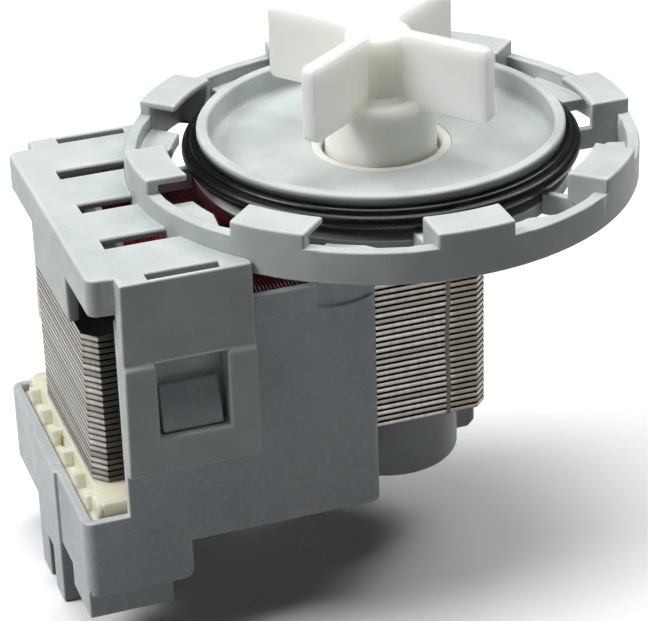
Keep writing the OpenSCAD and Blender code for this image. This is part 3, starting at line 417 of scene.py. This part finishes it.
def clouded(tree, shade, light, speckle):
    clouds = grain(tree, CLOUDS_PER_MM, detail=4.0)
    specks = grain(tree, SPECKS_PER_MM, detail=2.0)
    colour = mix_colour(tree, spread(tree, clouds, 0.0, 1.0), shade, light)
    colour = mix_colour(tree, spread(tree, specks, 0.0, speckle, 0.5, 0.75), colour, WHITE)
    return mix_colour(tree, spread(tree, specks, speckle, 0.0, 0.25, 0.42), colour, BLACK)


def paint_edge_highlight(tree, colour, amount):
    inside = add_node(tree, "ShaderNodeAmbientOcclusion", {"Distance": EDGE_HIGHLIGHT_DEPTH},
                      samples=4, inside=True, only_local=True)
    # painted highlight: points near an edge are mixed towards a pale grey
    painted_highlight = spread(tree, inside.outputs["AO"], amount, 0.0, 0.5, 0.9)
    seam = math_of(tree, "COMPARE", along(tree, "Z"), RING_TOP, SEAM_ROOM)
    painted_highlight = math_of(tree, "MULTIPLY", painted_highlight, math_of(tree, "SUBTRACT", 1.0, seam))
    return mix_colour(tree, painted_highlight, colour, EDGE_HIGHLIGHT_GREY)


print("plastic colours ready")

# %% Recipe for moulded plastic
GRAIN_PER_MM, WAVES_PER_MM, GLOSS_PER_MM = 7.0, 0.35, 0.7
WAVE_DEPTH = 0.05
GLOW_SPREAD = (1.0, 1.0, 0.95)


def moulded_plastic(name, shade, light, rough=(0.42, 0.56), grain_depth=0.02, speckle=0.06,
                    glow=0.0, glow_mm=1.0, edge_highlight_amount=0.0):
    finish, tree = new_finish(name)
    colour = clouded(tree, shade, light, speckle)
    if edge_highlight_amount:
        colour = paint_edge_highlight(tree, colour, edge_highlight_amount)
    fine = math_of(tree, "MULTIPLY", grain(tree, GRAIN_PER_MM, detail=2.0), grain_depth)
    waves = math_of(tree, "MULTIPLY", grain(tree, WAVES_PER_MM, detail=2.0), WAVE_DEPTH)
    show_surface(tree, {
        "Base Color": colour, "Roughness": spread(tree, grain(tree, GLOSS_PER_MM, detail=3.0), *rough),
        "Normal": bumps(tree, math_of(tree, "ADD", fine, waves), 1.0, 0.6),
        "Specular IOR Level": 0.45, "Subsurface Weight": glow,
        "Subsurface Scale": glow_mm * MM, "Subsurface Radius": GLOW_SPREAD})
    return finish


# the cover gets the painted edge highlight
grey_moulding = moulded_plastic("grey_moulding", srgb(175, 182, 181), srgb(192, 198, 196), edge_highlight_amount=0.5)
dress(grey_moulding, *COVER_RADIUS)
print("cover pieces dressed:", len(COVER_RADIUS))

# %% Pale and dark plastics
pale_moulding = moulded_plastic("pale_moulding", srgb(206, 207, 198), srgb(221, 221, 213), (0.38, 0.52),
                                grain_depth=0.015, speckle=0.03, glow=0.15, glow_mm=0.8)
dress(pale_moulding, "bearing_carrier", "magnet_carrier")
cream_moulding = moulded_plastic("cream_moulding", srgb(240, 235, 208), srgb(249, 246, 226), (0.36, 0.5),
                                 grain_depth=0.012, speckle=0.02, glow=0.8, glow_mm=2.5)
dress(cream_moulding, "wire_comb", "bobbin_front", "bobbin_back")
dark_moulding = moulded_plastic("dark_moulding", srgb(70, 74, 78), srgb(86, 90, 94))
dress(dark_moulding, "drive_dog")
amber_moulding = moulded_plastic("amber_moulding", srgb(203, 186, 142), srgb(219, 204, 164), (0.3, 0.42),
                                 grain_depth=0.01, glow=0.1, glow_mm=0.6)
dress(amber_moulding, "thrust_washer_front", "thrust_washer_rear")
print("plastics:", [m.name for m in (pale_moulding, cream_moulding, dark_moulding, amber_moulding)])

# %% [markdown]
# ## White wheel
# The wheel is milky white plastic. Its blades are thin, so light goes right through them and they look
# bright from both sides, while the thick skirt stays a little darker. One depth for the whole wheel
# would make it flat. So the depth to which light goes grows with the height, from the skirt to the
# blades.

# %% Let light into the wheel
SKIRT_GLOW, BLADE_GLOW = 1.5 * MM, 7.0 * MM
SKIRT_LEVEL, BLADE_LEVEL = 4.0 * MM, 7.0 * MM
white_moulding = moulded_plastic("white_moulding", srgb(254, 249, 232), srgb(255, 253, 243), (0.34, 0.48),
                                 grain_depth=0.01, speckle=0.01, glow=1.0)
tree = white_moulding.node_tree
depth = spread(tree, along(tree, "Z"), SKIRT_GLOW, BLADE_GLOW, SKIRT_LEVEL, BLADE_LEVEL)
tree.links.new(depth, tree.nodes["surface"].inputs["Subsurface Scale"])
dress(white_moulding, "impeller", "impeller_cap")
print("wheel finish:", white_moulding.name)

# %% [markdown]
# ## Dust and rubs on the housing
# The housing has the same grey plastic, with pale flecks of dust and a few dark rubs low on its front
# where it met a bench. The rubs could be painted by hand. Here a soft spot round the place is broken up
# by noise, which leaves small flecks and keeps the rest clean.

# %% Add the dust and the rubs
DUST_GREY, RUB_GREY = srgb(232, 236, 238), srgb(62, 64, 66)
RUB_PLACE, RUB_FLATTEN = Vector((-44.5, -23.7, -49.8)) * MM, (1.0, 1.0, 1.7)
RUB_FULL, RUB_END = 0.8 * MM, 5.0 * MM
RUB_STRENGTH, DUST_STRENGTH = 0.4, 0.3
# the housing gets the painted edge highlight too
housing_moulding = moulded_plastic("housing_moulding", srgb(182, 189, 191), srgb(193, 199, 201),
                                   edge_highlight_amount=0.4)
tree = housing_moulding.node_tree
skin = tree.nodes["surface"].inputs["Base Color"]
dusty = spread(tree, grain(tree, 0.85, detail=4.0), 0.0, DUST_STRENGTH, 0.52, 0.72)
colour = mix_colour(tree, dusty, skin.links[0].from_socket, DUST_GREY)

away = add_node(tree, "ShaderNodeVectorMath", {0: place_of(tree), 1: RUB_PLACE}, operation="SUBTRACT")
away = add_node(tree, "ShaderNodeVectorMath", {0: away.outputs[0], 1: RUB_FLATTEN}, operation="MULTIPLY")
away = add_node(tree, "ShaderNodeVectorMath", {0: away.outputs[0]}, operation="LENGTH")
near = spread(tree, away.outputs["Value"], 1.0, 0.0, RUB_FULL, RUB_END)
flecks = spread(tree, grain(tree, 0.9, detail=5.0, stretch=(1.0, 1.0, 1.6)), 0.0, 1.0, 0.54, 0.66)
rubbed = math_of(tree, "MULTIPLY", math_of(tree, "MULTIPLY", near, flecks), RUB_STRENGTH)
tree.links.new(mix_colour(tree, rubbed, colour, RUB_GREY), skin)
dress(housing_moulding, "coil_housing")
print("dust and rubs on", housing_moulding.name)

# %% [markdown]
# ## Rubber
# The seals are black rubber with a smooth, slightly oily skin: it is dark, but the lamps draw bright
# lines on it. Painted lines would stay put when the pump turns, so the shine is left to the lamps. The
# colour is almost black and the roughness is low, with a little dust in patches.

# %% Black rubber
black_rubber, tree = new_finish("black_rubber")
dust = spread(tree, grain(tree, 0.5, detail=5.0), 0.0, 0.15, 0.5, 0.8)
show_surface(tree, {
    "Base Color": mix_colour(tree, dust, srgb(10, 11, 12), srgb(58, 58, 57)),
    "Roughness": spread(tree, grain(tree, 0.6, detail=3.0), 0.26, 0.36),
    "Normal": bumps(tree, grain(tree, 3.0, detail=3.0), 0.02, 0.5), "Specular IOR Level": 0.35})
rubber_pieces = ("spigot_seal", "carrier_seal", "shaft_seal", "stop_bumpers", "rear_cushion")
dress(black_rubber, *rubber_pieces)
print("rubber pieces:", len(rubber_pieces))

# %% [markdown]
# ## Stacked steel sheets
# The core is a pile of stamped sheets. A punch leaves two bands on each edge: a bright sheared band, and
# below it a dull torn one. Sheets come from different places of a roll, so each has its own brightness.
# Each sheet could have a finish of its own, but the height tells which sheet a point is on, so one finish
# serves the whole pile.
#
# Two dark bands run across the pile on its long sides. Varnish has darkened it beyond the weld, at the
# pole end, and a painted shade darkens the yoke end, where the arm shades it. Noise makes their borders
# ragged.

# %% Find a point's place in the pile
SHEETS, SHEET_GAP = 25, 0.1 * MM
sheet_low, sheet_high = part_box("core_sheets")
sheet_step = (sheet_high.z - sheet_low.z + SHEET_GAP) / SHEETS
core_steel, tree = new_finish("core_steel")
level = math_of(tree, "SUBTRACT", along(tree, "Z"), sheet_low.z)
level = math_of(tree, "DIVIDE", level, sheet_step)
number = math_of(tree, "FLOOR", level)
own_tone = add_node(tree, "ShaderNodeTexWhiteNoise", {"W": number}, noise_dimensions="1D")
within = math_of(tree, "FRACT", level)
ragged = math_of(tree, "ADD", within, math_of(tree, "MULTIPLY", grain(tree, 1.2, detail=3.0), 0.3))
torn = spread(tree, ragged, 1.0, 0.0, 0.5, 0.75)
joint = math_of(tree, "MAXIMUM", spread(tree, within, 1.0, 0.0, 0.08, 0.26),
                spread(tree, within, 0.0, 1.0, 0.74, 0.86))
print("sheet pitch:", round(sheet_step / MM, 3), "mm")

# %% Stain the long sides and paint shade at the yoke end
BLOT_REACH = 3.0 * MM
VARNISH_FROM, VARNISH_FULL = 5.6 * MM, 7.4 * MM
YOKE_SHADE_FULL, YOKE_SHADE_END = -44.0 * MM, -40.0 * MM
normal = add_node(tree, "ShaderNodeNewGeometry").outputs["True Normal"]
sideways = add_node(tree, "ShaderNodeSeparateXYZ", {0: normal}).outputs["Y"]
long_side = spread(tree, math_of(tree, "ABSOLUTE", sideways), 0.0, 1.0, 0.85, 0.95)
blots = math_of(tree, "MULTIPLY", grain(tree, 0.5, detail=4.0), BLOT_REACH)
border = math_of(tree, "ADD", along(tree, "X"), blots)
varnish = spread(tree, border, 0.0, 1.0, VARNISH_FROM, VARNISH_FULL)
varnish = math_of(tree, "MULTIPLY", long_side, varnish)
# painted shade: the yoke end of the long sides is darkened where the arm shades it
painted_yoke_shade = spread(tree, border, 1.0, 0.0, YOKE_SHADE_FULL, YOKE_SHADE_END)
painted_yoke_shade = math_of(tree, "MULTIPLY", long_side, painted_yoke_shade)
print("varnish begins at", round(VARNISH_FROM / MM, 1), "mm, dirt ends at", round(YOKE_SHADE_END / MM, 1), "mm")

# %% Sheet steel
burrs = grain(tree, 2.2, detail=4.0, stretch=(1.0, 1.0, 0.12))
patina = grain(tree, 0.16, detail=4.0)
# Each layer has its amount and its colour.
layers = [
    (math_of(tree, "MULTIPLY", torn, 0.4), srgb(122, 117, 109)),
    (spread(tree, burrs, 0.0, 0.35), srgb(96, 92, 86)),
    (spread(tree, patina, 0.0, 0.25), srgb(150, 140, 124)),
    (math_of(tree, "MULTIPLY", joint, spread(tree, varnish, 0.85, 0.5, 0.0, 1.0)), srgb(34, 31, 28)),
    (math_of(tree, "MULTIPLY", varnish, 0.7), srgb(112, 103, 91)),
    # painted shade at the yoke end
    (math_of(tree, "MULTIPLY", painted_yoke_shade, 0.8), srgb(44, 40, 36)),
]
colour = mix_colour(tree, own_tone.outputs["Value"], srgb(146, 142, 136), srgb(198, 195, 190))
for amount, tint in layers:
    colour = mix_colour(tree, amount, colour, tint)
show_surface(tree, {
    "Base Color": colour, "Metallic": 1.0,
    "Roughness": spread(tree, math_of(tree, "ADD", torn, burrs), 0.28, 0.5, 0.3, 1.6),
    "Normal": bumps(tree, burrs, 0.06, 0.6)})
dress(core_steel, "core_sheets")
print("layers over the bare steel:", len(layers))

# %% [markdown]
# ## Turned and plated metal
# The shaft is ground bright, the bushes are sintered bronze with pores, the rivets are headed steel and
# the tabs are plated. Five separate graphs would say nearly the same, so they share a recipe: a metal
# colour with fine streaks, specks for pores, and a roughness for how well it was ground.

# %% Recipe for small metal pieces
PORE_BROWN = srgb(30, 27, 24)


def small_metal(name, shade, light, rough, streak=(1.0, 1.0, 1.0), pores=0.0):
    finish, tree = new_finish(name)
    lines = grain(tree, 3.0, detail=3.0, stretch=streak)
    spots = grain(tree, 4.0, detail=2.0)
    colour = mix_colour(tree, spread(tree, lines, 0.0, 1.0), shade, light)
    colour = mix_colour(tree, spread(tree, spots, pores, 0.0, 0.3, 0.42), colour, PORE_BROWN)
    show_surface(tree, {
        "Base Color": colour, "Metallic": 1.0, "Roughness": spread(tree, lines, *rough),
        "Normal": bumps(tree, math_of(tree, "ADD", lines, spots), 0.02, 0.5)})
    return finish


print("metal recipe ready")

# %% Dress the metal pieces
ground_shaft = small_metal("ground_shaft", srgb(186, 188, 192), srgb(216, 218, 221), (0.16, 0.26),
                           streak=(0.2, 0.2, 3.0))
dress(ground_shaft, "rotor_shaft")
sintered_bronze = small_metal("sintered_bronze", srgb(128, 100, 66), srgb(160, 128, 88), (0.4, 0.55),
                              pores=0.8)
dress(sintered_bronze, "front_bush", "rear_bush")
rivet_steel = small_metal("rivet_steel", srgb(140, 137, 131), srgb(176, 173, 167), (0.3, 0.46))
dress(rivet_steel, "core_rivets")
plated_tab = small_metal("plated_tab", srgb(196, 178, 122), srgb(222, 208, 160), (0.24, 0.36),
                         streak=(3.0, 1.0, 0.2))
dress(plated_tab, "terminal_front", "terminal_back")
dark_ferrite = small_metal("dark_ferrite", srgb(40, 40, 42), srgb(58, 58, 60), (0.45, 0.6), pores=0.5)
dress(dark_ferrite, "rotor_magnet")
print("metals:", [m.name for m in (ground_shaft, sintered_bronze, rivet_steel, plated_tab, dark_ferrite)])

# %% [markdown]
# ## Windings
# Each coil is thousands of turns of red enamelled wire. To draw them all would take millions of faces.
# Only the outer layer is ever seen, so that layer is wound turn by turn as one long tube, and the layers
# below are one body with the same outline. A curve with a round section makes the tube, and it is then
# kept as a mesh. The outer half of each coil is painted nearly black, a painted shade, and the inner half
# shows its red through the slots of the cover.

# %% Outline of one turn
def rounded_loop(low, high, corner, steps=5):
    middles = [(high[0] - corner, high[1] - corner), (low[0] + corner, high[1] - corner),
               (low[0] + corner, low[1] + corner), (high[0] - corner, low[1] + corner)]
    loop = []
    for quarter, (y, z) in enumerate(middles):
        for k in range(steps + 1):
            turn = math.radians(90 * (quarter + k / steps))
            loop.append((y + corner * math.cos(turn), z + corner * math.sin(turn)))
    return loop


print("points in one turn:", len(rounded_loop((-1, -1), (1, 1), 0.5)))

# %% Path of the outer layer
WIRE = 0.55 * MM
WIRE_ROOM = 1.04
TURN_CORNER = 2.6 * MM


def winding_path(low, high, turns):
    half = WIRE / 2
    loop = rounded_loop((low.y + half, low.z + half), (high.y - half, high.z - half), TURN_CORNER)
    start, end = low.x + WIRE, high.x - WIRE
    path = [(start - half, *loop[0])]
    for k in range(turns * len(loop) + 1):
        path.append((start + (end - start) * k / (turns * len(loop)), *loop[k % len(loop)]))
    return path + [(end + half, *loop[0])]


coil_low, coil_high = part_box("coil_front")
TURNS = int((coil_high.x - coil_low.x - 2 * WIRE) / (WIRE * WIRE_ROOM))
print("turns in the outer layer:", TURNS)

# %% Enamelled wire
COIL_SHADE_FROM, COIL_SHADE_FULL, COIL_SHADE_STRENGTH = 5.5 * MM, 9.5 * MM, 0.92
red_enamel, tree = new_finish("red_enamel")
tones = spread(tree, grain(tree, 0.3, detail=3.0), 0.0, 1.0)
colour = mix_colour(tree, tones, srgb(186, 26, 22), srgb(222, 52, 44))
# painted highlight: pale red flecks spread over the enamel
specks = spread(tree, grain(tree, 1.7, detail=2.0), 0.0, 0.4, 0.5, 0.75)
colour = mix_colour(tree, specks, colour, srgb(240, 112, 98))
# painted shade: the outer half of each coil is darkened nearly to black, with less coat
outwards = math_of(tree, "ABSOLUTE", along(tree, "Y"))
painted_coil_shade = spread(tree, outwards, 0.0, COIL_SHADE_STRENGTH, COIL_SHADE_FROM, COIL_SHADE_FULL)
colour = mix_colour(tree, painted_coil_shade, colour, srgb(16, 4, 4))
show_surface(tree, {
    "Base Color": colour, "Roughness": spread(tree, grain(tree, 0.9, detail=2.0), 0.28, 0.42),
    "Coat Weight": spread(tree, painted_coil_shade, 0.6, 0.1, 0.0, COIL_SHADE_STRENGTH), "Coat Roughness": 0.15,
    "Normal": bumps(tree, grain(tree, 2.5, detail=2.0), 0.02, 0.4)})
print("enamel ready")

# %% Wind the outer layer
def shade_smooth(mesh):
    mesh.polygons.foreach_set("use_smooth", [True] * len(mesh.polygons))


def wound_layer(name, low, high):
    line = bpy.data.curves.new(name, "CURVE")
    line.dimensions = "3D"
    line.bevel_depth = WIRE / 2
    line.bevel_resolution = 2
    line.use_fill_caps = True
    path = winding_path(low, high, TURNS)
    spline = line.splines.new("POLY")
    spline.points.add(len(path) - 1)
    for point, place in zip(spline.points, path):
        point.co = (*place, 1.0)
    spool = bpy.data.objects.new(name + "_spool", line)
    mesh = bpy.data.meshes.new_from_object(spool)
    bpy.data.objects.remove(spool)
    mesh.name = name
    shade_smooth(mesh)
    return mesh


print("wire is", round(WIRE / MM, 2), "mm thick")

# %% Fill the layers below
BUILD = 4.6 * MM
BODY_CORNER, BORE_CORNER = 2.2 * MM, 0.3 * MM


def mesh_of(name, body):
    bmesh.ops.recalc_face_normals(body, faces=body.faces)
    mesh = bpy.data.meshes.new(name)
    body.to_mesh(mesh)
    body.free()
    return mesh


def inner_layers(name, low, high):
    outer = rounded_loop((low.y + WIRE, low.z + WIRE), (high.y - WIRE, high.z - WIRE), BODY_CORNER)
    inner = rounded_loop((low.y + BUILD, low.z + BUILD), (high.y - BUILD, high.z - BUILD), BORE_CORNER)
    body = bmesh.new()
    rings = []
    for x, loop in ((low.x, outer), (high.x, outer), (high.x, inner), (low.x, inner)):
        rings.append([body.verts.new((x, *point)) for point in loop])
    count = len(outer)
    for a, b in zip(rings, rings[1:] + rings[:1]):
        for k in range(count):
            body.faces.new((a[k], a[(k + 1) % count], b[(k + 1) % count], b[k]))
    return mesh_of(name, body)


print("windings are", round(BUILD / MM, 1), "mm thick")

# %% Put both coils on the pump
def keep_piece(name, mesh, finish, body):
    mesh.materials.clear()
    mesh.materials.append(finish)
    piece = bpy.data.objects.new(name, mesh)
    scene.collection.objects.link(piece)
    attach(piece, body)
    return piece


for side in ("front", "back"):
    low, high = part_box("coil_" + side)
    layer_name, filling_name = "outer_turns_" + side, "inner_layers_" + side
    layer = keep_piece(layer_name, wound_layer(layer_name, low, high), red_enamel,
                       "pump_body")
    keep_piece(filling_name, inner_layers(filling_name, low, high), red_enamel,
               "pump_body")
    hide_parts("coil_" + side)
    print(layer.name, len(layer.data.polygons), "faces")

# %% [markdown]
# ## Weld seam on the core
# The sheets are held by a thin weld run down the outside of each leg. A bump in the steel's finish could
# hint at it, but a real bead stands proud and bridges the gaps between sheets, so it is a mesh. A weld is
# a row of frozen ripples: the bead's height rises and falls along its length, and it sways a little. Its
# underside is closed and lies just inside the sheets.

# %% Shape of a weld bead
BEAD_X, BEAD_WIDE, BEAD_PROUD, BEAD_SUNK = 4.5 * MM, 0.8 * MM, 0.16 * MM, 0.05 * MM
RIPPLES, STEPS_PER_RIPPLE, STEPS_ACROSS = 26, 6, 8
RIPPLE_SHARE = 0.25
SLOW_SWAY, SLOW_WAVES = 0.12 * MM, 9.0
QUICK_SWAY, QUICK_WAVES = 0.05 * MM, 41.0


def bead_row(part, side):
    z = sheet_low.z + (sheet_high.z - sheet_low.z) * part
    ripple = abs(math.sin(math.pi * RIPPLES * part))
    rise = BEAD_PROUD * (1 - RIPPLE_SHARE + RIPPLE_SHARE * ripple)
    sway = SLOW_SWAY * math.sin(SLOW_WAVES * part) + QUICK_SWAY * math.sin(QUICK_WAVES * part)
    row = []
    for k in range(STEPS_ACROSS + 1):
        turn = math.pi * k / STEPS_ACROSS
        out = rise * math.sin(turn) - BEAD_SUNK
        row.append((BEAD_X + sway - BEAD_WIDE / 2 * math.cos(turn), side * (sheet_high.y + out), z))
    return row


print("points in a row:", len(bead_row(0.0, -1)))

# %% Run the weld beads
BEAD_CREASE = math.radians(50)
weld_metal = small_metal("weld_metal", srgb(70, 65, 60), srgb(112, 105, 98), (0.4, 0.6), pores=0.5)


def weld_bead(name, side):
    body = bmesh.new()
    steps = RIPPLES * STEPS_PER_RIPPLE
    rows = [[body.verts.new(point) for point in bead_row(i / steps, side)] for i in range(steps + 1)]
    count = STEPS_ACROSS + 1
    for a, b in zip(rows, rows[1:]):
        for k in range(count):
            after = (k + 1) % count
            body.faces.new((a[k], a[after], b[after], b[k]))
    body.faces.new(rows[0])
    body.faces.new(rows[-1])
    mesh = mesh_of(name, body)
    shade_smooth(mesh)
    mesh.set_sharp_from_angle(angle=BEAD_CREASE)
    return keep_piece(name, mesh, weld_metal, "pump_body")


beads = [weld_bead("weld_front", -1), weld_bead("weld_back", 1)]
print("weld beads:", [bead.name for bead in beads])
